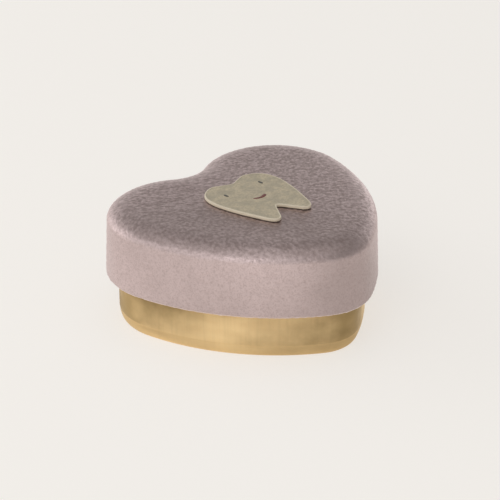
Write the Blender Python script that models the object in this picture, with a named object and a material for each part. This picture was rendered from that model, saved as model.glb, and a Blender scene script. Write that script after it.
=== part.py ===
"""Heart-shaped slip-lid trinket tin with a raised tooth plaque. Metres, +Z up, cleft of the heart towards +Y.

Every wall follows one heart outline, the widest line of the lid, moved inwards by an inset.
A shell is a stack of such heart-shaped rings, one for each (inset, height) point of its wall's section.
"""

import math

import bmesh
import bpy
from mathutils import Vector

MM = 0.001

# Heart outline: a round tip, two long sides, two round lobes and a round cleft, all tangent to each other.
LOBE_X = 16.5 * MM
LOBE_Y = 13.4 * MM
LOBE_RADIUS = 21.0 * MM
TIP_Y = -19.14 * MM
TIP_RADIUS = 15.26 * MM
SIDE_RADIUS = 62.5 * MM
CLEFT_RADIUS = 10.8 * MM
ARC_STEPS = {"tip": 7, "side": 9, "lobe": 16, "cleft": 5}

# Drawn lid: thin sheet with a softly rounded top edge and a bead rolled inwards round its mouth.
LID_BOTTOM = 13.1 * MM
LID_TOP = 32.2 * MM
LID_SHEET = 0.4 * MM
LID_DRAFT = 0.47 * MM
EDGE_IN = 7.8 * MM
EDGE_DOWN = 3.75 * MM
HEM_RADIUS = 0.85 * MM

# Drawn base: thin sheet, a bead rolled outwards round its rim, a soft bottom corner and a raised floor.
BASE_INSET = 3.2 * MM
BASE_TAPER = 0.17 * MM
BASE_SHEET = 0.35 * MM
RIM_TOP = 30.25 * MM
RIM_RADIUS = 0.8 * MM
CORNER_IN = 1.9 * MM
CORNER_UP = 3.4 * MM
FOOT_WIDTH = 2.5 * MM
PANEL_RISE = 0.8 * MM
PANEL_SLOPE = 0.7 * MM

# Padded lining that drops into the base and lies on the floor panel.
PAD_INSET = 4.5 * MM
PAD_THICKNESS = 2.0 * MM
PAD_EDGE = 0.6 * MM
PAD_GAP = 0.25 * MM

# Plaque: half of a molar's outline, from the dip of its crown round to the notch between its roots.
PLAQUE_HALF = (
    (0.0, 12.8), (2.7, 13.8), (5.8, 14.8), (9.3, 13.3), (11.3, 10.6), (11.8, 6.8), (11.2, 2.4),
    (10.1, -2.0), (8.7, -6.2), (7.5, -9.5), (6.1, -11.1), (4.3, -10.8), (2.6, -8.3), (0.0, -4.8),
)
PLAQUE_STEPS = 3
PLAQUE_LIFT = 0.2 * MM
PLAQUE_THICKNESS = 0.8 * MM
PLAQUE_EDGE = 0.3 * MM

# Adhesive pad that holds the plaque, in a pocket of the plaque's back.
GLUE_WIDTH = 13.0 * MM
GLUE_LENGTH = 12.0 * MM
GLUE_Y = 5.0 * MM
GLUE_THICKNESS = 0.22 * MM
GLUE_LIFT = 0.12 * MM
POCKET_DEPTH = 0.28 * MM
POCKET_MARGIN = 0.3 * MM

# Enamel marks of the face, two upright ovals and a bent stroke, each filling a recess in the plaque.
EYE_X = 6.2 * MM
EYE_Y = 8.3 * MM
EYE_WIDTH = 0.9 * MM
EYE_HEIGHT = 1.9 * MM
EYE_STEPS = 20
MOUTH_Y = 2.3 * MM
MOUTH_WIDTH = 4.5 * MM
MOUTH_BEND = 0.95 * MM
STROKE_RADIUS = 0.35 * MM
STROKE_STEPS = 10
RECESS_DEPTH = 0.32 * MM
RECESS_GAP = 0.14 * MM


def clear_scene():
    for old in list(bpy.data.objects):
        bpy.data.objects.remove(old)


def material(name, color, roughness, metallic):
    made = bpy.data.materials.new(name)
    made.use_nodes = True
    shader = made.node_tree.nodes["Principled BSDF"]
    shader.inputs["Base Color"].default_value = (*color, 1.0)
    shader.inputs["Roughness"].default_value = roughness
    shader.inputs["Metallic"].default_value = metallic
    return made


def arc(center, radius, start, end, steps):
    """Points of a circular arc, or an elliptical one when radius is a pair, from start to end in radians."""
    across, along = radius if isinstance(radius, tuple) else (radius, radius)
    angles = [start + (end - start) * i / steps for i in range(steps + 1)]
    return [Vector((center[0] + across * math.cos(a), center[1] + along * math.sin(a))) for a in angles]


def direction(vector):
    return math.atan2(vector.y, vector.x)


def heart(inset):
    """The heart outline moved inwards by inset, as points that run anticlockwise from the tip."""
    lobe = Vector((LOBE_X, LOBE_Y))
    tip = Vector((0.0, TIP_Y))
    to_lobe = lobe - tip
    span = to_lobe.length
    from_lobe = SIDE_RADIUS - LOBE_RADIUS
    from_tip = SIDE_RADIUS - TIP_RADIUS
    along = (from_tip**2 - from_lobe**2 + span**2) / (2 * span)
    off = math.sqrt(from_tip**2 - along**2)
    ahead = to_lobe / span
    side = tip + ahead * along + Vector((-ahead.y, ahead.x)) * off
    cleft = Vector((0.0, LOBE_Y + math.sqrt((LOBE_RADIUS + CLEFT_RADIUS) ** 2 - LOBE_X**2)))
    tip_end = direction(tip - side)
    side_end = direction(lobe - side)
    lobe_end = direction(cleft - lobe)
    half = arc(tip, TIP_RADIUS - inset, -math.pi / 2, tip_end, ARC_STEPS["tip"])
    half += arc(side, SIDE_RADIUS - inset, tip_end, side_end, ARC_STEPS["side"])[1:]
    half += arc(lobe, LOBE_RADIUS - inset, side_end, lobe_end, ARC_STEPS["lobe"])[1:]
    half += arc(cleft, CLEFT_RADIUS + inset, lobe_end - math.pi, -math.pi / 2, ARC_STEPS["cleft"])[1:]
    return half + [Vector((-point.x, point.y)) for point in half[-2:0:-1]]


def add_ring(mesh, outline, height):
    return [mesh.verts.new((point.x, point.y, height)) for point in outline]


def finished(mesh, name, surface, smooth_angle=40.0):
    """The object made from a bmesh, with its faces turned outwards and its round stretches shaded smooth."""
    bmesh.ops.recalc_face_normals(mesh, faces=mesh.faces)
    data = bpy.data.meshes.new(name)
    mesh.to_mesh(data)
    mesh.free()
    data.shade_smooth()
    data.set_sharp_from_angle(angle=math.radians(smooth_angle))
    data.materials.append(surface)
    made = bpy.data.objects.new(name, data)
    bpy.context.scene.collection.objects.link(made)
    return made


def stack(name, rings, surface):
    """A closed body through a list of (outline, height) rings, flat over its first and last ring."""
    mesh = bmesh.new()
    loops = [add_ring(mesh, outline, height) for outline, height in rings]
    count = len(loops[0])
    for lower, upper in zip(loops, loops[1:]):
        for i in range(count):
            j = (i + 1) % count
            mesh.faces.new((lower[i], lower[j], upper[j], upper[i]))
    mesh.faces.new(loops[0])
    mesh.faces.new(list(reversed(loops[-1])))
    bmesh.ops.triangulate(mesh, faces=[face for face in mesh.faces if len(face.verts) > 4])
    return finished(mesh, name, surface)


def heart_shell(name, section, surface):
    """A body whose walls follow the heart, from its section as (inset, height) points."""
    return stack(name, [(heart(inset), height) for inset, height in section], surface)


def lid_section():
    """Down the outside of the lid, round the hem, and up its inside to the ceiling."""
    edge = (LID_DRAFT + EDGE_IN, LID_TOP - EDGE_DOWN)
    hem = (HEM_RADIUS, LID_BOTTOM + HEM_RADIUS)
    inner_edge = (EDGE_IN - LID_SHEET, EDGE_DOWN - LID_SHEET)
    outside = arc(edge, (EDGE_IN, EDGE_DOWN), math.pi / 2, math.pi, 7)
    bead = arc(hem, HEM_RADIUS, math.pi, 2.55 * math.pi, 10)
    wall_foot = [Vector((LID_SHEET, LID_BOTTOM + 2.1 * HEM_RADIUS))]
    inside = arc(edge, inner_edge, math.pi, math.pi / 2, 7)
    return outside + bead + wall_foot + inside


def base_section():
    """Out under the floor, up the outside of the base, over the rim, and down its inside to the floor."""
    foot_inset = BASE_INSET + BASE_TAPER
    corner = (foot_inset + CORNER_IN, CORNER_UP)
    inner_corner = (CORNER_IN - BASE_SHEET, CORNER_UP - BASE_SHEET)
    foot_end = corner[0] + FOOT_WIDTH
    rim = (BASE_INSET + BASE_SHEET - RIM_RADIUS, RIM_TOP - RIM_RADIUS)
    under_rim = math.acos((BASE_INSET - rim[0]) / RIM_RADIUS)
    panel = [Vector((foot_end + PANEL_SLOPE, PANEL_RISE)), Vector((foot_end, 0.0))]
    outside = arc(corner, (CORNER_IN, CORNER_UP), 1.5 * math.pi, math.pi, 6)
    bead = arc(rim, RIM_RADIUS, 2 * math.pi - under_rim, 0.0, 11)
    inside = arc(corner, inner_corner, math.pi, 1.5 * math.pi, 4)
    floor_start = foot_end - 0.5 * BASE_SHEET
    floor = [
        Vector((floor_start, BASE_SHEET)),
        Vector((floor_start + PANEL_SLOPE, PANEL_RISE + BASE_SHEET)),
    ]
    return panel + outside + bead + inside + floor


def pad_section():
    low = PANEL_RISE + BASE_SHEET + PAD_GAP
    edge = (PAD_INSET + PAD_EDGE, low + PAD_THICKNESS - PAD_EDGE)
    return [Vector((PAD_INSET, low))] + arc(edge, PAD_EDGE, math.pi, math.pi / 2, 3)


def smooth_closed(points, steps):
    """A closed Catmull-Rom curve through the points, with this many steps between two of them."""
    count = len(points)
    made = []
    for i in range(count):
        before, here, after, beyond = (points[(i + k) % count] for k in (-1, 0, 1, 2))
        for step in range(steps):
            t = step / steps
            bend = 2 * before - 5 * here + 4 * after - beyond
            twist = 3 * here - before - 3 * after + beyond
            made.append(here + 0.5 * t * (after - before) + 0.5 * t * t * bend + 0.5 * t**3 * twist)
    return made


def plaque_outline():
    right = [Vector(point) * MM for point in PLAQUE_HALF]
    left = [Vector((-point.x, point.y)) for point in right[-2:0:-1]]
    return smooth_closed(right + left, PLAQUE_STEPS)


def oval(center_x, center_y, width, height, margin=0.0):
    across, along = width / 2 + margin, height / 2 + margin
    return arc((center_x, center_y), (across, along), 0.0, 2 * math.pi, EYE_STEPS)[:-1]


def stroke(center_x, center_y, width, bend, margin=0.0):
    """The outline of a round-ended stroke that dips by bend between its ends."""
    radius = STROKE_RADIUS + margin
    half = width / 2 - STROKE_RADIUS
    spine = []
    for i in range(STROKE_STEPS + 1):
        t = 2 * i / STROKE_STEPS - 1
        spine.append(Vector((center_x + t * half, center_y - bend * (1 - t * t))))
    slope = 2 * bend / half
    lean = math.atan(slope)
    right_end = arc(spine[-1], radius, lean - math.pi / 2, lean + math.pi / 2, 6)
    left_end = arc(spine[0], radius, math.pi / 2 - lean, 1.5 * math.pi - lean, 6)
    lower, upper = [], []
    for i, point in enumerate(spine[1:-1], start=1):
        t = 2 * i / STROKE_STEPS - 1
        normal = Vector((-slope * t, 1.0)).normalized() * radius
        lower.append(point - normal)
        upper.append(point + normal)
    return lower + right_end + list(reversed(upper)) + left_end


def rectangle(center_y, width, length):
    across, along = width / 2, length / 2
    corners = ((-across, -along), (across, -along), (across, along), (-across, along))
    return [Vector((x, center_y + y)) for x, y in corners]


def cut(target, cutter):
    """Takes the cutter's shape out of the target; the cutter stays as a hidden helper."""
    cutter.hide_render = True
    cutter.display_type = "WIRE"
    carving = target.modifiers.new(cutter.name, "BOOLEAN")
    carving.operation = "DIFFERENCE"
    carving.solver = "EXACT"
    carving.object = cutter


def bevelled_slab(name, outline, low, high, edge, surface):
    """A flat slab on an outline, with its upper edge rounded."""
    mesh = bmesh.new()
    bottom = mesh.faces.new(add_ring(mesh, outline, low))
    top = bmesh.ops.extrude_face_region(mesh, geom=[bottom], use_keep_orig=True)["geom"]
    raised = [item for item in top if isinstance(item, bmesh.types.BMVert)]
    bmesh.ops.translate(mesh, verts=raised, vec=(0.0, 0.0, high - low))
    rim = [edge_ for edge_ in mesh.edges if all(vert in set(raised) for vert in edge_.verts)]
    bmesh.ops.bevel(mesh, geom=rim, offset=edge, segments=3, profile=0.5, affect="EDGES")
    return finished(mesh, name, surface)


def build_base(gold, velvet):
    base = heart_shell("base_shell", base_section(), gold)
    pad = heart_shell("lining_pad", pad_section(), velvet)
    pad.parent = base
    return base


def build_face(plaque, plaque_top, dark, red):
    """Recesses in the plaque and the enamel that fills them."""
    marks = (
        ("left_eye_enamel", oval, (-EYE_X, EYE_Y, EYE_WIDTH, EYE_HEIGHT), dark),
        ("right_eye_enamel", oval, (EYE_X, EYE_Y, EYE_WIDTH, EYE_HEIGHT), dark),
        ("mouth_enamel", stroke, (0.0, MOUTH_Y, MOUTH_WIDTH, MOUTH_BEND), red),
    )
    floor = plaque_top - RECESS_DEPTH
    above = plaque_top + RECESS_DEPTH
    made = []
    for name, outline_of, place, surface in marks:
        recess = outline_of(*place, margin=RECESS_GAP)
        cut(plaque, stack(name + "_recess", [(recess, floor), (recess, above)], surface))
        fill = outline_of(*place)
        made.append(stack(name, [(fill, floor + RECESS_GAP), (fill, plaque_top)], surface))
    return made


def build_lid(coat, ivory, glue, dark, red):
    """The lid and all that is fixed to it, on an empty that lies on the line along which the lid lifts off."""
    lift = bpy.data.objects.new("lid_lift", None)
    bpy.context.scene.collection.objects.link(lift)
    lid = heart_shell("lid_shell", lid_section(), coat)
    plaque_low = LID_TOP + PLAQUE_LIFT
    plaque_top = plaque_low + PLAQUE_THICKNESS
    outline = plaque_outline()
    plaque = bevelled_slab("tooth_plaque", outline, plaque_low, plaque_top, PLAQUE_EDGE, ivory)
    pocket = rectangle(GLUE_Y, GLUE_WIDTH + 2 * POCKET_MARGIN, GLUE_LENGTH + 2 * POCKET_MARGIN)
    pocket_span = [(pocket, LID_TOP), (pocket, plaque_low + POCKET_DEPTH)]
    cut(plaque, stack("plaque_pocket", pocket_span, ivory))
    tape = rectangle(GLUE_Y, GLUE_WIDTH, GLUE_LENGTH)
    tape_low = LID_TOP + GLUE_LIFT
    pad = stack("plaque_adhesive_pad", [(tape, tape_low), (tape, tape_low + GLUE_THICKNESS)], glue)
    marks = build_face(plaque, plaque_top, dark, red)
    for piece in (lid, plaque, pad, *marks):
        piece.parent = lift
    return lift


def main():
    clear_scene()
    gold = material("gold_lacquer", (0.66, 0.47, 0.22), 0.32, 0.9)
    coat = material("crinkle_coat", (0.36, 0.27, 0.26), 0.6, 0.1)
    velvet = material("velvet", (0.55, 0.40, 0.40), 0.95, 0.0)
    ivory = material("ivory_enamel", (0.55, 0.51, 0.40), 0.45, 0.0)
    glue = material("adhesive", (0.80, 0.78, 0.72), 0.6, 0.0)
    dark = material("dark_enamel", (0.05, 0.05, 0.055), 0.35, 0.0)
    red = material("red_enamel", (0.20, 0.05, 0.04), 0.35, 0.0)
    build_base(gold, velvet)
    build_lid(coat, ivory, glue, dark, red)


main()
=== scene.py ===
"""The looks of the heart-shaped trinket tin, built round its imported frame. Metres, +Z up.

Each metal shell is a stack of heart-shaped rings, one for each (inset, height) point of its wall's section.
The inset goes inwards from the lid's widest line.
"""

import math

import bpy
import numpy as np
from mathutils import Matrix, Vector, noise


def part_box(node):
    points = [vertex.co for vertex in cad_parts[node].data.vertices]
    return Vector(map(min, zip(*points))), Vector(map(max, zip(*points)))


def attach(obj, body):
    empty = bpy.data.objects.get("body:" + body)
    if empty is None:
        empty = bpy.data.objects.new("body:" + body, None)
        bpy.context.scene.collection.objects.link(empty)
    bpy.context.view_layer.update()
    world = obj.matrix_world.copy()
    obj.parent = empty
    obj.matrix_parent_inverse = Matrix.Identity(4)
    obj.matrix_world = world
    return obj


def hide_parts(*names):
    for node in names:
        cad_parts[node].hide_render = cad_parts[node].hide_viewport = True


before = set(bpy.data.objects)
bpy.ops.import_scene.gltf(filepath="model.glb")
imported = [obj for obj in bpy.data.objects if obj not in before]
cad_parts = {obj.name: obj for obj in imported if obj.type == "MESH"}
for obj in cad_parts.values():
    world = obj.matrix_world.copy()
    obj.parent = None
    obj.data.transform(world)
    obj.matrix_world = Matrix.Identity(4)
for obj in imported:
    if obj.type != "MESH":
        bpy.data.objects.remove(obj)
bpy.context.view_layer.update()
MM = 0.001

# What the frame gives: the boxes of the CAD pieces.
LID_LOW, LID_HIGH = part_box("lid_shell")
_, BASE_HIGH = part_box("base_shell")
PLAQUE_LOW, PLAQUE_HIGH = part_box("tooth_plaque")
PAD_LOW, PAD_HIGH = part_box("lining_pad")
HALF_WIDTH = LID_HIGH.x

# Heart outline of the lid's widest line: a round tip, long sides, round lobes and a round cleft.
LOBE_RADIUS = 0.56 * HALF_WIDTH
LOBE_X = HALF_WIDTH - LOBE_RADIUS
LOBE_Y = LID_HIGH.y - LOBE_RADIUS
TIP_RADIUS = 0.407 * HALF_WIDTH
TIP_Y = LID_LOW.y + TIP_RADIUS
SIDE_RADIUS = 1.667 * HALF_WIDTH
CLEFT_RADIUS = 0.288 * HALF_WIDTH

# Section of the lid: a softly rounded top edge, a wall and a hem rolled inwards.
LID_SHEET = 0.4 * MM
LID_DRAFT = 0.47 * MM
EDGE_IN = 7.8 * MM
EDGE_DOWN = 3.75 * MM
HEM_RADIUS = 0.85 * MM

# Section of the base: a rim curled outwards, a wall, a crease, a soft corner, a foot and a raised panel.
BASE_INSET = 3.2 * MM
BASE_TAPER = 0.17 * MM
BASE_SHEET = 0.35 * MM
RIM_RADIUS = 0.8 * MM
CORNER_IN = 1.9 * MM
CORNER_UP = 3.4 * MM
CREASE = 0.1 * MM
CREASE_START_IN = 0.03 * MM
CREASE_START_UP = 0.1 * MM
CREASE_END_UP = 0.22 * MM
FOOT_WIDTH = 2.5 * MM
PANEL_RISE = 0.8 * MM
PANEL_SLOPE = 0.7 * MM
PANEL_LEVEL = 0.4 * MM
PANEL_CURVE = ((1.0, 0.93), (0.3, 0.15), (0.0, 0.0))

# Angles of the arcs in a section, and the ones where the rolled hem and the curled rim end.
INWARD, UP, OUTWARD, DOWN = 0.0, 0.5 * math.pi, math.pi, 1.5 * math.pi
HEM_END = 2.4 * math.pi
CURL_END = 1.6 * math.pi

# Fineness of the meshes: points round each outline, and the distance between rings where little shows.
LID_POINTS = 580
BASE_POINTS = 360
PAD_POINTS = 300
PLAQUE_STEPS = 12
COARSE = 3 * MM
PAD_SPACING = 0.8 * MM
PLAQUE_SPACING = 0.5 * MM
PLAQUE_COARSE = 2 * MM
COARSER = 3.0
CENTRE_SHARE = 0.02

# The coat's grain, which the lid's mesh carries as relief. The mesh's points are GRAIN_SPACING apart.
GRAIN_SEED = 1
GRAIN_SPACING = 0.38 * MM
GRAIN_CELL = 0.82 * MM
GRAIN_HEIGHT = 0.12 * MM
GRAIN_LEVEL = 0.62
GRAIN_COARSE = 0.8
GRAIN_FINE = 0.5
GRAIN_FINENESS = 1.9
GRAIN_ROUND = 0.35
GRAIN_WARP = 0.3
BARE_GRAIN = 0.6

# How strongly the valleys darken, with pigment and painted shade, at these shares of EDGE_DOWN under the
# top. The wall is as the first.
FADE_DOWN = (1.0, 0.6, 0.02)
FADE_SHARE = (0.42, 0.6, 1.0)

# The lid's top rings meet at this share of the plaque's length, where the plaque hides them.
TOP_CENTRE = 0.55

# Rings of the hem that the coat covers, and how many of them are pale, with rubbed coat and a painted
# highlight.
COATED_RINGS = 8
WORN_AND_HIGHLIGHT_RINGS = 6

# Size and place of the soft patches in the tone of the coat and the lacquer: partly random tone, partly
# painted reflection, shifted so their lighter and darker parts fall where the metal's reflections are
# lighter and darker.
COAT_TONE_AND_REFLECTION_PATCH = 36 * MM
COAT_TONE_AND_REFLECTION_SHIFT = Vector((28.3, 18.6, 47.4))
LACQUER_TONE_AND_REFLECTION_PATCH = 24 * MM
LACQUER_TONE_AND_REFLECTION_SHIFT = Vector((5.2, 35.5, 22.2))

# Lining pad: (inset, height) in mm of its foot, a rounded edge, a crown, and its swells' (height, width).
PAD_FOOT = ((0.6, 0.0), (0.1, 0.25))
PAD_EDGE = 0.9 * MM
PAD_CROWN = 0.4 * MM
CROWN_RISE = 2.5
PAD_SWELLS = ((0.08 * MM, 9 * MM), (0.03 * MM, 1.2 * MM))

# Plaque: half of a molar's outline in mm, from the dip of its crown round to the notch between its roots.
PLAQUE_HALF = (
    (0.0, 12.8), (2.7, 13.8), (5.8, 14.8), (9.3, 13.3), (11.3, 10.6), (11.8, 6.8), (11.2, 2.4),
    (10.1, -2.0), (8.7, -6.2), (7.5, -9.5), (6.1, -11.1), (4.3, -10.8), (2.6, -8.3), (0.0, -4.8),
)
PLAQUE_MIDDLE = 4.0 * MM
PLAQUE_LIFT = 0.03 * MM
PLAQUE_FOOT = 0.35 * MM
PLAQUE_BROW = 0.25 * MM
PLAQUE_RIM = 0.08 * MM

# Its section: (inset, height) in mm of its hollow back, and (inset in mm, depth in rims) of its sunk face.
PLAQUE_BACK = ((1.2, 0.3), (1.0, 0.25), (0.9, 0.0), (0.4, 0.0))
PLAQUE_FACE = ((0.34, 0.0), (0.42, 0.6), (0.54, 1.0), (0.9, 1.0), (1.2, 1.0))

# Marks of the face: the eyes as shares of their CAD boxes, the mouth in shares of its radius.
EYE_LENGTH = 0.96
EYE_WIDTH = 0.92
EYE_POINT = 0.9
MOUTH_RADIUS = 0.35 * MM
MOUTH_MARGIN = 1.1
MOUTH_SHORTER = 0.2
MOUTH_THICK = 1.35
MOUTH_TAPER = 0.35
STROKE_DOME = 0.95
STROKE_ROUND = 6
STROKE_POINTS = 14
STROKE_STEPS = 28

# Camera: azimuth 0 looks along +Y. It aims a little beside the box's middle, to frame it as photographed.
CAMERA_AZIMUTH = -43.48
CAMERA_ELEVATION = 26.62
CAMERA_DISTANCE = 692.3 * MM
CAMERA_LENS = 187.7
CAMERA_SENSOR = 36.0
BOX_MIDDLE = Vector((0.0, -2.5 * MM, 16.1 * MM))
AIM_LEFT = 5.63 * MM
AIM_UP = 2.55 * MM

# Area lights: name, azimuth, elevation, distance, width, height, power. All face LIGHT_AIM.
LIGHTS = (
    ("key", -69, 30, 0.8, 0.3, 0.8, 0.55),
    ("front", -72, 44, 0.9, 1.1, 0.7, 1.15),
    ("left", -150, 18, 0.8, 0.9, 0.7, 1.7),
    ("side", 112, 4, 0.7, 0.2, 0.1, 0.11),
    ("back", 137, 9, 0.9, 1.3, 0.2, 0.25),
)
LIGHT_AIM = Vector((0.0, 0.0, 15 * MM))

# The studio's dome: (height on the unit sphere, radiance), and the tint of all of it.
DOME = ((0.0, 0.80), (0.12, 0.66), (0.3, 0.50), (0.55, 0.37), (0.75, 0.29), (0.92, 0.50), (1.0, 0.74))
DOME_TINT = (1.0, 0.985, 0.965)
FLOOR_REACH = 3.0
FLOOR_GLOW = 0.73


# ---------------------------------------------------------------- outlines and meshes

def add_object(name, data):
    made = bpy.data.objects.new(name, data)
    bpy.context.scene.collection.objects.link(made)
    return made


def angle_of(vector):
    return math.atan2(vector[1], vector[0])


def heart_arcs():
    """(centre, radius, start, end, outward sign) of the right half's arcs, from the tip to the cleft."""
    lobe = np.array((LOBE_X, LOBE_Y))
    tip = np.array((0.0, TIP_Y))
    to_lobe = lobe - tip
    span = np.linalg.norm(to_lobe)
    from_lobe = SIDE_RADIUS - LOBE_RADIUS
    from_tip = SIDE_RADIUS - TIP_RADIUS
    along = (from_tip**2 - from_lobe**2 + span**2) / (2 * span)
    off = math.sqrt(from_tip**2 - along**2)
    ahead = to_lobe / span
    side = tip + ahead * along + np.array((-ahead[1], ahead[0])) * off
    cleft = np.array((0.0, LOBE_Y + math.sqrt((LOBE_RADIUS + CLEFT_RADIUS) ** 2 - LOBE_X**2)))
    tip_end = angle_of(tip - side)
    side_end = angle_of(lobe - side)
    lobe_end = angle_of(cleft - lobe)
    return [
        (tip, TIP_RADIUS, -math.pi / 2, tip_end, 1),
        (side, SIDE_RADIUS, tip_end, side_end, 1),
        (lobe, LOBE_RADIUS, side_end, lobe_end, 1),
        (cleft, CLEFT_RADIUS, lobe_end - math.pi, -math.pi / 2, -1),
    ]


def heart_outline(count):
    """Evenly spaced points of the lid's widest line, and the outward direction at each."""
    arcs = heart_arcs()
    lengths = np.array([radius * abs(end - start) for _, radius, start, end, _ in arcs])
    ends = np.concatenate(([0.0], np.cumsum(lengths)))
    half = count // 2
    points, outward = [], []
    for i in range(half + 1):
        place = ends[-1] * i / half
        which = min(int(np.searchsorted(ends, place, side="right")) - 1, len(arcs) - 1)
        centre, radius, start, end, sign = arcs[which]
        angle = start + (end - start) * (place - ends[which]) / lengths[which]
        way = np.array((math.cos(angle), math.sin(angle)))
        points.append(centre + radius * way)
        outward.append(sign * way)
    points, outward = np.array(points), np.array(outward)
    mirror = np.array((-1.0, 1.0))
    points = np.vstack((points, points[-2:0:-1] * mirror))
    outward = np.vstack((outward, outward[-2:0:-1] * mirror))
    return points, outward


def arc(centre, radius, start, end, steps):
    """Points of a circular arc, or of an elliptical one when radius is a pair."""
    across, along = radius if isinstance(radius, tuple) else (radius, radius)
    angles = np.linspace(start, end, steps + 1)
    return [(centre[0] + across * math.cos(a), centre[1] + along * math.sin(a)) for a in angles]


def spaced(path, spacing):
    """The path again, with points about this far apart; its own corners stay."""
    made = [path[0]]
    for here, there in zip(path, path[1:]):
        steps = max(1, round(math.dist(here, there) / spacing))
        for k in range(1, steps + 1):
            made.append(tuple(a + (b - a) * k / steps for a, b in zip(here, there)))
    return made


def skin(name, rings):
    """An object with a mesh through equally long rings of points; a ring of one point closes an end."""
    rings = [np.asarray(ring, float) for ring in rings]
    starts = np.concatenate(([0], np.cumsum([len(ring) for ring in rings]))).tolist()
    faces = []
    for r, (lower, upper) in enumerate(zip(rings, rings[1:])):
        a, b = starts[r], starts[r + 1]
        count = max(len(lower), len(upper))
        for i in range(count):
            j = (i + 1) % count
            if len(lower) == 1:
                faces.append((a, b + j, b + i))
            elif len(upper) == 1:
                faces.append((a + i, a + j, b))
            else:
                faces.append((a + i, a + j, b + j, b + i))
    data = bpy.data.meshes.new(name)
    data.from_pydata(np.vstack(rings).tolist(), [], faces)
    return add_object(name, data)


def at_height(flat, height):
    return np.column_stack((flat, np.full(len(flat), height)))


def heart_rings(section, points, outward):
    """A ring for each (inset, height) of the section."""
    return [at_height(points - outward * inset, height) for inset, height in section]


def to_centre(edge, centre, spacing, coarse_from=0.45):
    """Rings that shrink from the edge ring to its centre, coarser inside the share coarse_from."""
    reach = np.linalg.norm(edge[:, :2] - centre, axis=1).max()
    shares = []
    share = 1.0
    while share > 2 * CENTRE_SHARE:
        share -= spacing / reach * (1.0 if share > coarse_from else COARSER)
        shares.append(max(share, CENTRE_SHARE))
    made = [at_height(centre + (edge[:, :2] - centre) * share, edge[0, 2]) for share in shares]
    made.append(np.array([[centre[0], centre[1], edge[0, 2]]]))
    return made


def point_count(rings):
    return sum(len(ring) for ring in rings)


def add_values(data, name, values):
    """A number at each vertex, for the material to read."""
    attribute = data.attributes.new(name, "FLOAT", "POINT")
    attribute.data.foreach_set("value", np.asarray(values, np.float32))


def vertex_vectors(data, kind):
    """The place (kind co) or the direction (kind normal) of every vertex."""
    flat = np.empty(len(data.vertices) * 3, np.float32)
    data.vertices.foreach_get(kind, flat)
    return flat.reshape(-1, 3).astype(float)


def set_places(data, places):
    data.vertices.foreach_set("co", places.astype(np.float32).ravel())


def add_tone_and_reflection(data, patch, shift):
    """Soft patches of colour, partly random and partly painted reflection, from about -0.5 to 0.5."""
    places = vertex_vectors(data, "co")
    add_values(data, "tone_and_reflection", [noise.noise(Vector(place) / patch + shift) for place in places])


def smooth(made, angle):
    """Smooth shading, with edges sharper than this many degrees left sharp."""
    made.data.shade_smooth()
    made.data.set_sharp_from_angle(angle=math.radians(angle))


# ---------------------------------------------------------------- colours

def rgb(red, green, blue):
    """Linear colour with alpha from an sRGB colour of 0 to 255."""
    def linear(value):
        share = value / 255
        return share / 12.92 if share <= 0.04045 else ((share + 0.055) / 1.055) ** 2.4
    return (linear(red), linear(green), linear(blue), 1.0)


# The coat's dark and light colours are the ends of its tone patches, which are partly painted reflection.
COAT_DARK = rgb(182, 165, 163)
COAT_LIGHT = rgb(222, 202, 201)
# The next colour darkens the coat's valleys and specks: partly pigment, partly painted shade in the
# hollows.
COAT_VALLEY_PIGMENT_AND_SHADE = rgb(160, 141, 137)
# The next colour is the hem's pale line: rubbed coat and a painted highlight.
COAT_WORN_AND_HIGHLIGHT = rgb(242, 227, 225)
# The gold's dark and light colours are the ends of its tone patches, which are partly painted reflection.
GOLD_DARK = rgb(184, 157, 110)
GOLD_LIGHT = rgb(250, 219, 166)
GOLD_STREAK = rgb(188, 160, 114)
# The next colour is a painted reflection of the floor in the base's lower corner.
GOLD_CORNER_REFLECTION = rgb(238, 206, 152)
IVORY_DARK = rgb(190, 179, 156)
IVORY_LIGHT = rgb(213, 199, 171)
IVORY_SPECK = rgb(176, 164, 139)
IVORY_RIM = rgb(234, 222, 198)
# The next colour is a painted shadow round the plaque's foot, where it meets the lid.
FOOT_SHADOW_COLOUR = rgb(128, 113, 98)
EYE_DARK = rgb(72, 69, 64)
EYE_LIGHT = rgb(92, 88, 80)
MOUTH_LIGHT = rgb(134, 74, 64)
MOUTH_DARK = rgb(112, 58, 52)
GLUE_LIGHT = rgb(230, 228, 219)
GLUE_DARK = rgb(222, 218, 205)
VELVET_DARK = rgb(168, 136, 136)
VELVET_LIGHT = rgb(190, 158, 156)
VELVET_PILE = rgb(134, 104, 106)
FLOOR_COLOUR = rgb(168, 165, 160)
FLOOR_LIGHT = rgb(239, 236, 232)


# ---------------------------------------------------------------- materials

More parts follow.
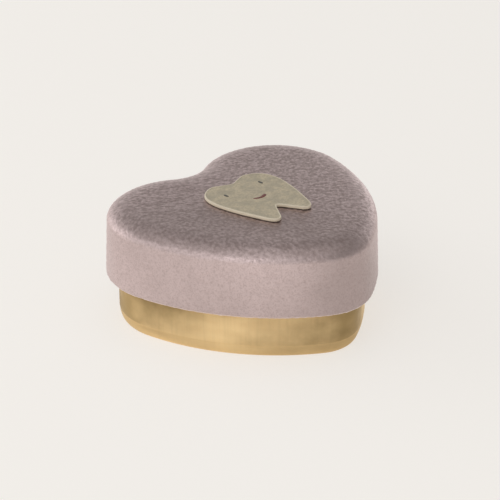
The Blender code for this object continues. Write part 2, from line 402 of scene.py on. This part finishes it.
class Graph:
    """A short way to write a material's nodes."""

    def __init__(self, name):
        self.material = bpy.data.materials.new(name)
        self.material.use_nodes = True
        self.tree = self.material.node_tree
        self.shader = self.tree.nodes["Principled BSDF"]
        self.place = self.node("ShaderNodeTexCoord").outputs["Object"]

    def node(self, kind, inputs=None, **settings):
        made = self.tree.nodes.new(kind)
        for key, value in settings.items():
            setattr(made, key, value)
        for key, value in (inputs or {}).items():
            self.put(made.inputs[key], value)
        return made

    def put(self, socket, value):
        if isinstance(value, bpy.types.NodeSocket):
            self.tree.links.new(value, socket)
        else:
            socket.default_value = value

    def set(self, **values):
        """Puts each value on the shader's input of that name, with spaces for underscores."""
        for key, value in values.items():
            self.put(self.shader.inputs[key.replace("_", " ")], value)

    def stretched(self, x, y, z):
        """The place in units of these lengths along the axes, for noise of size 1."""
        inputs = {0: self.place, 1: (1 / x, 1 / y, 1 / z)}
        return self.node("ShaderNodeVectorMath", inputs, operation="MULTIPLY").outputs["Vector"]

    def noise(self, size, detail=3.0, vector=None):
        inputs = {"Vector": vector or self.place, "Scale": 1 / size, "Detail": detail, "Roughness": 0.55}
        return self.node("ShaderNodeTexNoise", inputs).outputs["Fac"]

    def attribute(self, name):
        return self.node("ShaderNodeAttribute", attribute_name=name).outputs["Fac"]

    def ramp(self, value, low, high, out_low=0.0, out_high=1.0):
        """A smooth step, from out_low where value is low to out_high where it is high."""
        inputs = {"Value": value, "From Min": low, "From Max": high, "To Min": out_low, "To Max": out_high}
        return self.node("ShaderNodeMapRange", inputs, interpolation_type="SMOOTHSTEP").outputs["Result"]

    def math(self, operation, first, second):
        return self.node("ShaderNodeMath", {0: first, 1: second}, operation=operation).outputs["Value"]

    def mix(self, share, first, second):
        """The first colour at share 0, the second at share 1."""
        made = self.node("ShaderNodeMix", data_type="RGBA")
        self.put(made.inputs["Factor"], share)
        self.put(made.inputs["A"], first)
        self.put(made.inputs["B"], second)
        return [out for out in made.outputs if out.type == "RGBA"][0]

    def bump(self, height, distance, strength, normal=None):
        inputs = {"Height": height, "Distance": distance, "Strength": strength}
        if normal is not None:
            inputs["Normal"] = normal
        return self.node("ShaderNodeBump", inputs).outputs["Normal"]


def crinkle_coat():
    """Mauve coat: dark valleys between its grains, partly pigment and partly painted shade, soft patches of
    random colour and painted reflection, and a pale hem line of rubbed coat and painted highlight.
    """
    g = Graph("crinkle_coat")
    fine = g.noise(0.42 * MM, detail=2.0)
    cloud = g.noise(9.0 * MM, detail=2.0)
    # The tone patches are partly random and partly painted reflection.
    tone_and_reflection = g.math("ADD", g.attribute("tone_and_reflection"), g.ramp(cloud, 0.35, 0.65, -0.05, 0.05))
    # Valleys between the grains darken: partly darker pigment, partly painted shade in the hollows.
    valley = g.ramp(g.attribute("grain"), 0.0, 0.9, 0.7, 0.0)
    # The hem's pale line is partly rubbed coat, partly painted highlight.
    worn_and_highlight = g.math("MULTIPLY", g.attribute("hem_wear_and_highlight"), g.ramp(fine, 0.3, 0.6, 0.5, 1.0))
    colour = g.mix(g.ramp(tone_and_reflection, -0.5, 0.5), COAT_DARK, COAT_LIGHT)
    colour = g.mix(valley, colour, COAT_VALLEY_PIGMENT_AND_SHADE)
    colour = g.mix(g.ramp(fine, 0.45, 0.7, 0.0, 0.3), colour, COAT_VALLEY_PIGMENT_AND_SHADE)
    colour = g.mix(worn_and_highlight, colour, COAT_WORN_AND_HIGHLIGHT)
    g.set(Base_Color=colour, Metallic=0.9)
    g.set(Roughness=g.ramp(fine, 0.3, 0.7, 0.36, 0.48))
    g.set(Normal=g.bump(fine, 0.1 * MM, 1.0))
    return g.material


def gold_lacquer(name):
    """Gold lacquer on sheet brushed upright: wiped unevenly, and paler below the base's crease with a
    painted reflection of the floor.
    """
    g = Graph(name)
    streaks = g.noise(1.0, detail=2.0, vector=g.stretched(0.9 * MM, 0.9 * MM, 18 * MM))
    hair = g.noise(1.0, detail=1.0, vector=g.stretched(0.3 * MM, 0.3 * MM, 9 * MM))
    wiped = g.noise(1.0, vector=g.stretched(7 * MM, 7 * MM, 3 * MM))
    cloud = g.noise(7.0 * MM)
    height = g.node("ShaderNodeSeparateXYZ", {"Vector": g.place}).outputs["Z"]
    # The lacquer's tone patches are partly random and partly painted reflection of the lights.
    tone_and_reflection = g.math("ADD", g.attribute("tone_and_reflection"), g.ramp(cloud, 0.3, 0.7, -0.1, 0.1))
    # Painted reflection of the floor: the corner below the crease is paler.
    below = g.ramp(height, CORNER_UP, CORNER_UP + 0.4 * MM, 0.6, 0.0)
    colour = g.mix(g.ramp(tone_and_reflection, -0.35, 0.5), GOLD_DARK, GOLD_LIGHT)
    colour = g.mix(g.ramp(streaks, 0.4, 0.8, 0.0, 0.14), colour, GOLD_STREAK)
    colour = g.mix(below, colour, GOLD_CORNER_REFLECTION)
    g.set(Base_Color=colour, Metallic=1.0)
    g.set(Roughness=g.ramp(wiped, 0.3, 0.7, 0.46, 0.54))
    tangent = g.node("ShaderNodeTangent", direction_type="RADIAL", axis="Z").outputs["Tangent"]
    g.set(Anisotropic=0.95, Anisotropic_Rotation=0.25, Tangent=tangent)
    normal = g.bump(wiped, 0.05 * MM, 0.25)
    g.set(Normal=g.bump(hair, 0.008 * MM, 0.4, normal))
    return g.material


def ivory_enamel():
    """Greenish ivory, clouded and speckled, with a pale rim and a painted shadow round its foot."""
    g = Graph("ivory_enamel")
    cloud = g.noise(3.0 * MM)
    fine = g.noise(0.6 * MM, detail=2.0)
    colour = g.mix(g.ramp(cloud, 0.35, 0.65), IVORY_DARK, IVORY_LIGHT)
    colour = g.mix(g.ramp(fine, 0.4, 0.65, 0.0, 0.45), colour, IVORY_SPECK)
    colour = g.mix(g.ramp(g.attribute("rim"), 0.3, 0.8), colour, IVORY_RIM)
    # Painted shadow: the plaque's hollow back and the foot of its flank turn dark.
    colour = g.mix(g.ramp(g.attribute("foot_shadow"), 0.1, 0.9), colour, FOOT_SHADOW_COLOUR)
    g.set(Base_Color=colour, Roughness=g.ramp(fine, 0.3, 0.7, 0.4, 0.55))
    g.set(Normal=g.bump(fine, 0.03 * MM, 0.6))
    return g.material


def mark_enamel(name, colour, other):
    g = Graph(name)
    fine = g.noise(0.3 * MM, detail=2.0)
    g.set(Base_Color=g.mix(g.ramp(fine, 0.35, 0.65), colour, other))
    g.set(Roughness=g.ramp(fine, 0.3, 0.7, 0.3, 0.45))
    g.set(Normal=g.bump(fine, 0.01 * MM, 0.5))
    return g.material


def adhesive():
    g = Graph("adhesive")
    fine = g.noise(0.5 * MM)
    g.set(Base_Color=g.mix(g.ramp(fine, 0.35, 0.65), GLUE_LIGHT, GLUE_DARK))
    g.set(Roughness=g.ramp(fine, 0.3, 0.7, 0.6, 0.75))
    g.set(Normal=g.bump(fine, 0.03 * MM, 0.5))
    return g.material


def velvet():
    """Short pile, brushed lighter and darker."""
    g = Graph("velvet")
    pile = g.noise(0.25 * MM, detail=2.0)
    brushed = g.noise(4.0 * MM)
    colour = g.mix(g.ramp(brushed, 0.35, 0.65), VELVET_DARK, VELVET_LIGHT)
    colour = g.mix(g.ramp(pile, 0.35, 0.7, 0.0, 0.5), colour, VELVET_PILE)
    g.set(Base_Color=colour, Roughness=g.ramp(pile, 0.3, 0.7, 0.8, 1.0))
    g.set(Sheen_Weight=0.6, Sheen_Roughness=0.4)
    g.set(Normal=g.bump(pile, 0.12 * MM, 0.7))
    return g.material


# ---------------------------------------------------------------- lid

def grain_of(places):
    """How high the coat stands at each place, from 0 in a valley to 1 on a grain.

    Without a seed, noise_vector takes its offsets from the clock.
    """
    noise.seed_set(GRAIN_SEED)
    values = []
    for place in places:
        where = Vector(place) / GRAIN_CELL
        pebble, _ = noise.voronoi(where + GRAIN_WARP * noise.noise_vector(where))
        value = GRAIN_LEVEL + GRAIN_COARSE * noise.noise(where)
        value += GRAIN_FINE * noise.noise(where * GRAIN_FINENESS)
        values.append(value - GRAIN_ROUND * pebble[0])
    return np.clip(values, 0, 1)


def lid_rings(points, outward):
    """The lid's rings in four runs: top, outside, inside and ceiling.

    Last comes the number of rings in the outside run that are above the hem.
    """
    edge = (LID_DRAFT + EDGE_IN, LID_HIGH.z - EDGE_DOWN)
    hem = (HEM_RADIUS, LID_LOW.z + HEM_RADIUS)
    rounding = arc(edge, (EDGE_IN, EDGE_DOWN), UP, OUTWARD, steps=26)
    wall = spaced([rounding[-1], (0.0, hem[1])], GRAIN_SPACING)[1:]
    outer_bead = arc(hem, HEM_RADIUS, OUTWARD, HEM_END, steps=14)[1:]
    inner_bead = arc(hem, HEM_RADIUS - LID_SHEET, HEM_END, OUTWARD, steps=9)
    inner_wall = spaced([inner_bead[-1], (LID_DRAFT + LID_SHEET, edge[1])], COARSE)[1:]
    inner_edge = arc(edge, (EDGE_IN - LID_SHEET, EDGE_DOWN - LID_SHEET), OUTWARD, UP, steps=10)[1:]
    outside = heart_rings(rounding + wall + outer_bead, points, outward)
    inside = heart_rings(inner_bead + inner_wall + inner_edge, points, outward)
    centre = np.array((0.0, PLAQUE_LOW.y + TOP_CENTRE * (PLAQUE_HIGH.y - PLAQUE_LOW.y)))
    top = to_centre(outside[0], centre, GRAIN_SPACING)[::-1]
    ceiling = to_centre(inside[-1], centre, COARSE)
    return top, outside, inside, ceiling, len(rounding) + len(wall)


def build_lid():
    points, outward = heart_outline(LID_POINTS)
    top, outside, inside, ceiling, above_hem = lid_rings(points, outward)
    lid = skin("lid", top + outside + inside + ceiling)
    data = lid.data
    data.flip_normals()
    hem_start = point_count(top + outside[:above_hem])
    coated = hem_start + COATED_RINGS * LID_POINTS
    worn_and_highlight = hem_start + LID_POINTS
    places = vertex_vectors(data, "co")
    fade = [LID_HIGH.z - down * EDGE_DOWN for down in FADE_DOWN]
    share = np.interp(places[:coated, 2], fade, FADE_SHARE)
    valley = 1 - grain_of(places[:coated])
    grain = np.full(len(places), BARE_GRAIN)
    # The valleys' darkening is partly pigment and partly painted shade.
    grain[:coated] = 1 - share * valley
    # Pale hem line: rubbed coat and painted highlight.
    hem_wear_and_highlight = np.zeros(len(places))
    hem_wear_and_highlight[worn_and_highlight : worn_and_highlight + WORN_AND_HIGHLIGHT_RINGS * LID_POINTS] = 1.0
    places[:coated] -= vertex_vectors(data, "normal")[:coated] * valley[:, None] * GRAIN_HEIGHT
    set_places(data, places)
    add_values(data, "grain", grain)
    add_values(data, "hem_wear_and_highlight", hem_wear_and_highlight)
    # Tone patches, partly painted reflection.
    add_tone_and_reflection(data, COAT_TONE_AND_REFLECTION_PATCH, COAT_TONE_AND_REFLECTION_SHIFT)
    smooth(lid, angle=60)
    data.materials.append(crinkle_coat())
    data.materials.append(gold_lacquer("lid_lining_lacquer"))
    bare = np.array([min(face.vertices) >= coated for face in data.polygons], int)
    data.polygons.foreach_set("material_index", bare)
    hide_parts("lid_shell")
    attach(lid, "lid")


# ---------------------------------------------------------------- base and its lining

def base_section():
    """(inset, height) points from under the raised panel, out and up to the rim, and back down inside."""
    foot = (BASE_INSET + BASE_TAPER + CORNER_IN, CORNER_UP)
    foot_end = foot[0] + FOOT_WIDTH
    rim = (BASE_INSET + BASE_SHEET - RIM_RADIUS, BASE_HIGH.z - RIM_RADIUS)
    panel = [(foot_end + PANEL_SLOPE + PANEL_LEVEL, PANEL_RISE)]
    panel += [(foot_end + along * PANEL_SLOPE, up * PANEL_RISE) for along, up in PANEL_CURVE]
    corner = arc(foot, (CORNER_IN - CREASE, CORNER_UP), DOWN, OUTWARD, steps=14)
    crease = [
        (corner[-1][0] - CREASE_START_IN, CORNER_UP + CREASE_START_UP),
        (foot[0] - CORNER_IN, CORNER_UP + CREASE_END_UP),
    ]
    wall = spaced([crease[-1], (BASE_INSET, rim[1])], COARSE / 2)[1:]
    inner_curl = arc(rim, RIM_RADIUS - BASE_SHEET, INWARD, CURL_END, steps=14)[1:]
    outer_curl = arc(rim, RIM_RADIUS, CURL_END, INWARD, steps=20)
    inner_corner = arc(foot, (CORNER_IN - BASE_SHEET, CORNER_UP - BASE_SHEET), OUTWARD, DOWN, steps=10)
    inner_wall = spaced([outer_curl[-1], inner_corner[0]], COARSE)[1:-1]
    floor_start = foot_end - 0.5 * BASE_SHEET
    floor = [(floor_start, BASE_SHEET), (floor_start + PANEL_SLOPE, PANEL_RISE + BASE_SHEET)]
    return panel + corner + crease + wall + inner_curl + outer_curl + inner_wall + inner_corner + floor


def build_base():
    points, outward = heart_outline(BASE_POINTS)
    rings = heart_rings(base_section(), points, outward)
    centre = np.array((0.0, 0.0))
    under = to_centre(rings[0], centre, COARSE)
    over = to_centre(rings[-1], centre, COARSE)
    base = skin("base", under[::-1] + rings + over)
    # Tone patches, partly painted reflection.
    add_tone_and_reflection(base.data, LACQUER_TONE_AND_REFLECTION_PATCH, LACQUER_TONE_AND_REFLECTION_SHIFT)
    smooth(base, angle=30)
    base.data.materials.append(gold_lacquer("gold_lacquer"))
    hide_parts("base_shell")
    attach(base, "base")


def build_pad():
    points, outward = heart_outline(PAD_POINTS)
    low, high = PAD_LOW.z, PAD_HIGH.z
    inset = HALF_WIDTH - PAD_HIGH.x
    rounding = (inset + PAD_EDGE, high - PAD_EDGE - PAD_CROWN)
    section = [(inset + back * MM, low + up * MM) for back, up in PAD_FOOT]
    section += arc(rounding, PAD_EDGE, OUTWARD, UP, steps=8)
    rings = heart_rings(section, points, outward)
    centre = np.array((0.0, 0.0))
    under = to_centre(rings[0], centre, COARSE)
    over = to_centre(rings[-1], centre, PAD_SPACING, coarse_from=0.0)
    for step, ring in enumerate(over, 1):
        ring[:, 2] += PAD_CROWN * math.sin(0.5 * math.pi * min(1.0, CROWN_RISE * step / len(over)))
    pad = skin("lining", under[::-1] + rings + over)
    places = vertex_vectors(pad.data, "co")
    top_from = high - PAD_CROWN - 0.1 * MM
    for i in np.flatnonzero(places[:, 2] > top_from):
        where = Vector(places[i])
        places[i, 2] += sum(swell * noise.noise(where / width) for swell, width in PAD_SWELLS)
    places[:, 2] = np.minimum(places[:, 2], high)
    set_places(pad.data, places)
    smooth(pad, angle=60)
    pad.data.materials.append(velvet())
    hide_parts("lining_pad")
    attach(pad, "base")


# ---------------------------------------------------------------- plaque and its face

def smooth_closed(points, steps):
    """A closed curve through all the points, with this many steps between two of them."""
    count = len(points)
    made = []
    for i in range(count):
        before, here, after, beyond = (points[(i + k) % count] for k in (-1, 0, 1, 2))
        bend = 2 * before - 5 * here + 4 * after - beyond
        twist = 3 * here - before - 3 * after + beyond
        for t in np.arange(steps) / steps:
            made.append(here + 0.5 * t * (after - before) + 0.5 * t**2 * bend + 0.5 * t**3 * twist)
    return np.array(made)


def outward_of(outline):
    """The outward direction at each point of a closed outline."""
    following = np.roll(outline, -1, axis=0)
    along = following - np.roll(outline, 1, axis=0)
    along /= np.linalg.norm(along, axis=1)[:, None]
    way = np.column_stack((along[:, 1], -along[:, 0]))
    area = np.sum(outline[:, 0] * following[:, 1] - outline[:, 1] * following[:, 0])
    return way * np.sign(area)


def build_plaque():
    right = [np.array(point) * MM for point in PLAQUE_HALF]
    left = [point * np.array((-1.0, 1.0)) for point in right[-2:0:-1]]
    outline = smooth_closed(right + left, PLAQUE_STEPS)
    way = outward_of(outline)
    low, high = LID_HIGH.z + PLAQUE_LIFT, PLAQUE_HIGH.z
    back = [(inset * MM, low + up * MM) for inset, up in PLAQUE_BACK]
    flank = arc((PLAQUE_FOOT, low + PLAQUE_FOOT), PLAQUE_FOOT, DOWN, OUTWARD, steps=5)
    brow = arc((PLAQUE_BROW, high - PLAQUE_BROW), PLAQUE_BROW, OUTWARD, UP, steps=5)
    face = [(inset * MM, high - depth * PLAQUE_RIM) for inset, depth in PLAQUE_FACE]
    rings = [at_height(outline - way * inset, height) for inset, height in back + flank + brow + face]
    centre = np.array((0.0, PLAQUE_MIDDLE))
    hollow = to_centre(rings[0], centre, PLAQUE_COARSE)[::-1]
    front = to_centre(rings[-1], centre, PLAQUE_SPACING, coarse_from=0.0)
    plaque = skin("plaque", hollow + rings + front)
    data = plaque.data
    rim, foot_shadow = np.zeros(len(data.vertices)), np.zeros(len(data.vertices))
    pale = point_count(hollow + rings[: len(back) + 1])
    rim[pale : pale + len(outline) * len(flank + brow)] = 1.0
    # The painted shadow covers the hollow back and the lowest rings of the flank.
    foot_shadow[: pale + 2 * len(outline)] = 1.0
    add_values(data, "rim", rim)
    add_values(data, "foot_shadow", foot_shadow)
    smooth(plaque, angle=40)
    data.materials.append(ivory_enamel())
    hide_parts("tooth_plaque")
    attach(plaque, "lid")


def build_stroke(name, node, spine, thick, surface):
    """A domed, round-ended stroke of enamel along spine(t), t from -1 to 1, with half width thick(t)."""
    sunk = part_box(node)[1].z - PLAQUE_RIM
    near = 0.01
    rings = []
    for t in np.linspace(-1, 1, STROKE_STEPS + 1):
        here = spine(t)
        ahead = spine(t + near) - spine(t - near)
        across = np.array((-ahead[1], ahead[0])) / np.linalg.norm(ahead)
        fade = math.sqrt(max(0.0, 1 - abs(t) ** STROKE_ROUND))
        ring = []
        for a in np.linspace(0, 2 * math.pi, STROKE_POINTS, endpoint=False):
            flat = here + across * thick(t) * fade * math.cos(a)
            ring.append((flat[0], flat[1], sunk + STROKE_DOME * PLAQUE_RIM * fade * math.sin(a)))
        rings.append(ring)
    made = skin(name, [[np.mean(rings[0], axis=0)]] + rings[1:-1] + [[np.mean(rings[-1], axis=0)]])
    smooth(made, angle=80)
    made.data.materials.append(surface)
    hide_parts(node)
    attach(made, "lid")


def build_eye(side, surface):
    low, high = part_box(side + "_eye_enamel")
    middle, half = (low + high) / 2, (high - low) / 2

    def spine(t):
        return np.array((middle.x, middle.y + t * EYE_LENGTH * half.y))

    def thick(t):
        return EYE_WIDTH * half.x * math.sqrt(max(0.0, 1 - (EYE_POINT * t) ** 2))

    build_stroke(side + "_eye", side + "_eye_enamel", spine, thick, surface)


def build_mouth(surface):
    low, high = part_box("mouth_enamel")
    reach = (high.x - low.x) / 2 - MOUTH_SHORTER * MOUTH_RADIUS
    margin = MOUTH_MARGIN * MOUTH_RADIUS
    bend = high.y - low.y - 2 * margin

    def spine(t):
        return np.array((t * reach, high.y - margin - bend * (1 - t * t)))

    def thick(t):
        return MOUTH_RADIUS * (MOUTH_THICK + MOUTH_TAPER * t)

    build_stroke("mouth", "mouth_enamel", spine, thick, surface)


def build_face():
    dark = mark_enamel("dark_enamel", EYE_DARK, EYE_LIGHT)
    red = mark_enamel("red_enamel", MOUTH_LIGHT, MOUTH_DARK)
    build_eye("left", dark)
    build_eye("right", dark)
    build_mouth(red)


def finish_glue():
    """The adhesive pad stays as the frame has it, with a material of its own."""
    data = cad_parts["plaque_adhesive_pad"].data
    data.materials.clear()
    data.materials.append(adhesive())


# ---------------------------------------------------------------- studio

def direction(azimuth, elevation):
    """The way from the box to a camera or light at these angles in degrees."""
    a, e = math.radians(azimuth), math.radians(elevation)
    return Vector((math.sin(a) * math.cos(e), -math.cos(a) * math.cos(e), math.sin(e)))


def look_along(made, back):
    """Turns a camera or light to face the way opposite to back."""
    made.rotation_mode = "QUATERNION"
    made.rotation_quaternion = back.to_track_quat("Z", "Y")


def build_camera():
    back = direction(CAMERA_AZIMUTH, CAMERA_ELEVATION)
    right = direction(CAMERA_AZIMUTH + 90, 0)
    up = back.cross(right)
    place = BOX_MIDDLE + back * CAMERA_DISTANCE
    aim = BOX_MIDDLE - right * AIM_LEFT + up * AIM_UP
    data = bpy.data.cameras.new("camera")
    data.sensor_width = CAMERA_SENSOR
    data.lens = CAMERA_LENS
    camera = add_object("camera", data)
    camera.location = place
    look_along(camera, place - aim)
    bpy.context.scene.camera = camera


def build_light(name, azimuth, elevation, distance, width, height, power):
    back = direction(azimuth, elevation)
    data = bpy.data.lights.new(name, "AREA")
    data.shape = "RECTANGLE"
    data.size = width
    data.size_y = height
    data.energy = power
    light = add_object(name, data)
    light.location = LIGHT_AIM + back * distance
    look_along(light, back)
    light.visible_camera = False


def build_floor():
    data = bpy.data.meshes.new("floor")
    corners = [(x * FLOOR_REACH, y * FLOOR_REACH, 0.0) for x, y in ((-1, -1), (1, -1), (1, 1), (-1, 1))]
    data.from_pydata(corners, [], [(0, 1, 2, 3)])
    floor = add_object("floor", data)
    g = Graph("pale_floor")
    g.set(Base_Color=FLOOR_COLOUR, Roughness=0.9, Specular_IOR_Level=0.0)
    g.set(Emission_Color=FLOOR_LIGHT, Emission_Strength=FLOOR_GLOW)
    data.materials.append(g.material)


def build_world():
    """A soft studio dome: pale at the horizon, dimmer above it, brighter overhead."""
    world = bpy.data.worlds.new("studio")
    world.use_nodes = True
    bpy.context.scene.world = world
    nodes, links = world.node_tree.nodes, world.node_tree.links
    place = nodes.new("ShaderNodeTexCoord")
    split = nodes.new("ShaderNodeSeparateXYZ")
    dome = nodes.new("ShaderNodeValToRGB")
    stops = dome.color_ramp.elements
    while len(stops) < len(DOME):
        stops.new(0.5)
    for stop, (height, radiance) in zip(stops, DOME):
        stop.position = height
        stop.color = (*(radiance * tint for tint in DOME_TINT), 1.0)
    links.new(place.outputs["Generated"], split.inputs["Vector"])
    links.new(split.outputs["Z"], dome.inputs["Fac"])
    links.new(dome.outputs["Color"], nodes["Background"].inputs["Color"])


def main():
    bpy.context.scene.view_settings.view_transform = "Standard"
    build_camera()
    build_lid()
    build_base()
    build_pad()
    build_plaque()
    build_face()
    finish_glue()
    build_floor()
    build_world()
    for light in LIGHTS:
        build_light(*light)


main()
